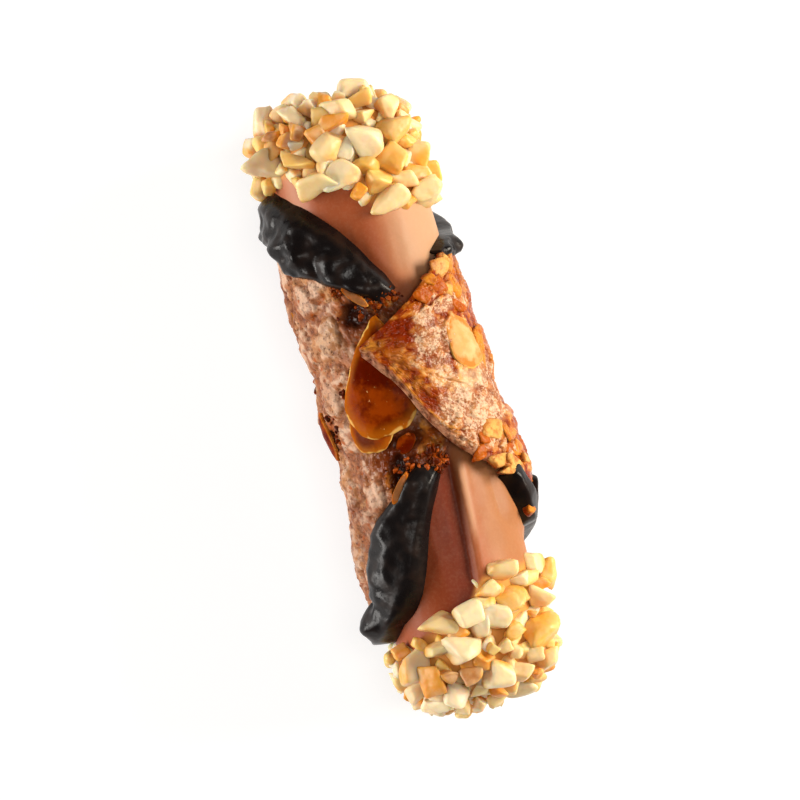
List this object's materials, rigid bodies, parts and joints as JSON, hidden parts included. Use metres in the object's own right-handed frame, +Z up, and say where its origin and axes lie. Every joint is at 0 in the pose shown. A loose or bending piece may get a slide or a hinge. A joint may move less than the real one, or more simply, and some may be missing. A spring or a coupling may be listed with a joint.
{
  "type": "cannoli",
  "caption": "Rolled almond wafer filled with chocolate cream, its rims dipped in dark chocolate and its ends pressed into chopped nuts, lying on its side.",
  "frame": {"origin": "centre of the bounding box's underside, on the surface that the roll lies on", "axes": "+Y along the roll, +Z up through the open side with the flap, +X towards the side that the flap hangs from"},
  "size_m": [0.042, 0.131, 0.0392],
  "materials": {
    "wafer": "baked crisp, with a shiny caramel glaze in patches",
    "cream": "smooth satin",
    "chocolate": "glossy set couverture",
    "chopped_nuts": "dry blanched nut, lightly toasted edges",
    "sliced_almond": "caramelised, with a pale cut rim"
  },
  "bodies": {
    "root": {"wafer_shell": "wafer", "cream_filling": "cream", "chocolate_rim_upper": "chocolate", "chocolate_rim_lower": "chocolate", "nut_crust_upper": "chopped_nuts", "nut_crust_lower": "chopped_nuts", "almond_slice_large": "sliced_almond", "almond_slice_right": "sliced_almond", "almond_slice_left": "sliced_almond", "almond_slice_left_high": "sliced_almond", "almond_slice_low": "sliced_almond", "almond_sliver_upper": "sliced_almond", "almond_sliver_lower": "sliced_almond"}
  },
  "joints": []
}
